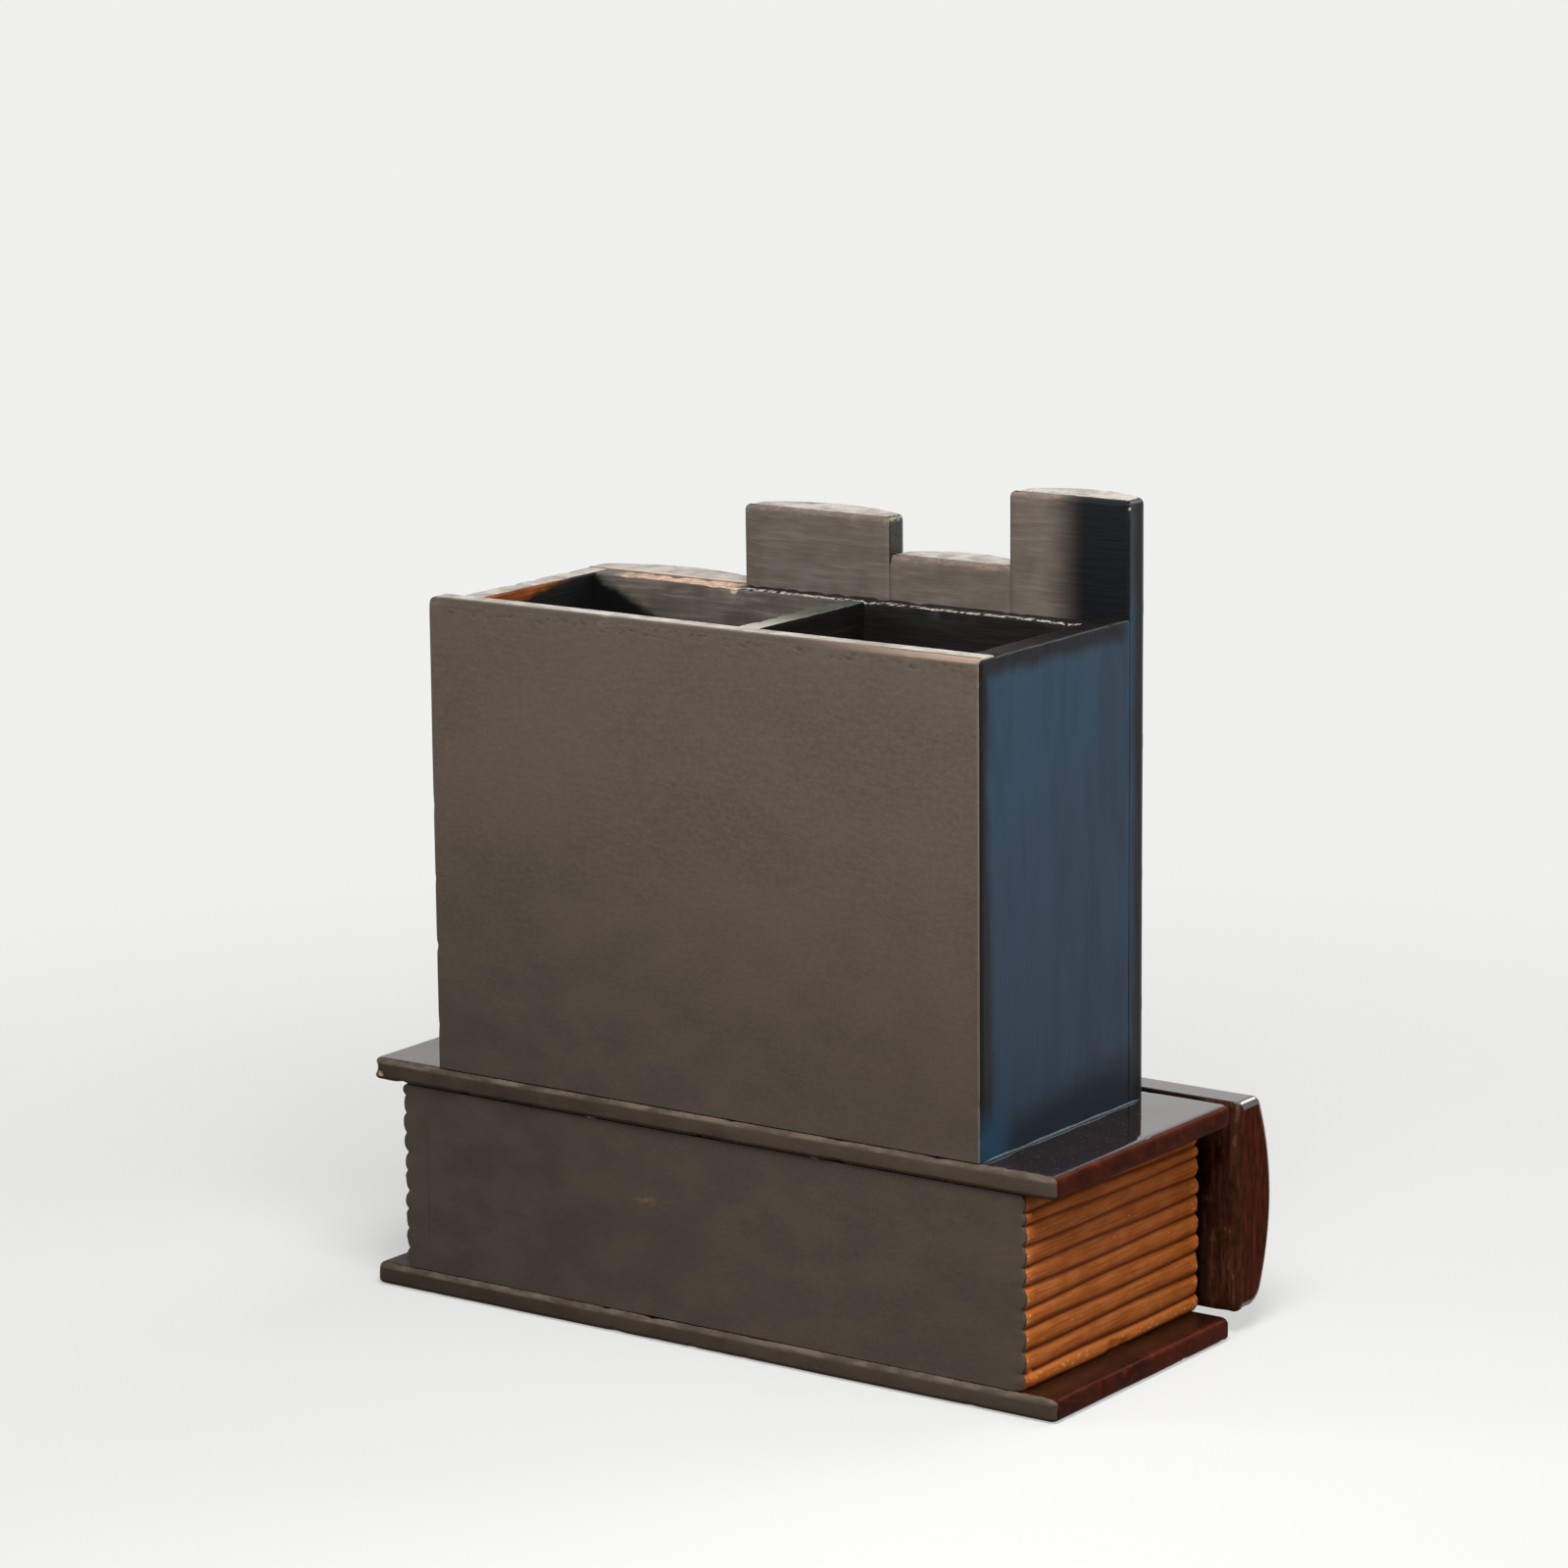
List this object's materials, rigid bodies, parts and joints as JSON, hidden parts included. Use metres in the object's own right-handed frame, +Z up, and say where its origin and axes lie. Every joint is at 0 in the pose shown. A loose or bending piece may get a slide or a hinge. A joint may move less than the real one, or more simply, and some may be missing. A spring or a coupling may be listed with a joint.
{
  "type": "pen holder with drawer",
  "caption": "Wooden desk pen holder shaped like old books: a lying book with a pull-out drawer carries a divided pen cup fronted by upright rounded book spines.",
  "frame": {"origin": "middle of the bounding box, on the surface that the holder stands on", "axes": "+Z up; the drawer's spine and the book spines face -Y and the flat back faces +Y; the tall blue spine is at the -X end"},
  "size_m": [0.17, 0.0832, 0.1718],
  "materials": {
    "cover_brown": "satin dark brown paint over wood, worn at the edges",
    "page_wood": "orange-brown stain with dark grooves",
    "back_grey": "matte grey-brown paint with fine grain",
    "blue_board": "satin blue paint darkened at the edges",
    "tan_board": "satin tan paint darkened at the edges",
    "inner_wood": "dark stain",
    "tan_spine": "satin tan paint with dull gold lines",
    "green_spine": "satin green paint with dull gold lines",
    "red_spine": "satin red paint with dull gold lines",
    "blue_spine": "satin blue paint with dull gold lines",
    "brown_spine": "satin brown paint with dull gold lines",
    "drawer_wood": "plain sanded wood",
    "fastener_steel": "bright steel"
  },
  "bodies": {
    "case": {"bottom_cover": "cover_brown", "top_cover": "cover_brown", "left_page_panel": "page_wood", "right_page_panel": "page_wood", "base_back_panel": "back_grey", "cup_back_panel": "back_grey", "left_end_panel": "blue_board", "right_end_panel": "tan_board", "cup_front_board": "inner_wood", "cup_divider": "inner_wood", "first_book_spine": "tan_spine", "second_book_spine": "green_spine", "third_book_spine": "red_spine", "fourth_book_spine": "blue_spine", "base_brads": "fastener_steel", "cup_screws": "fastener_steel", "cup_brads": "fastener_steel"},
    "drawer": {"drawer_spine": "brown_spine", "drawer_front_board": "drawer_wood", "drawer_left_side": "drawer_wood", "drawer_right_side": "drawer_wood", "drawer_back": "drawer_wood", "drawer_bottom": "drawer_wood", "drawer_spine_screws": "fastener_steel", "drawer_brads": "fastener_steel"}
  },
  "joints": [
    {"name": "drawer_slide", "type": "slide", "parent": "case", "child": "drawer", "axis": [0, -1, 0], "range_m": [0, 0.045]}
  ]
}
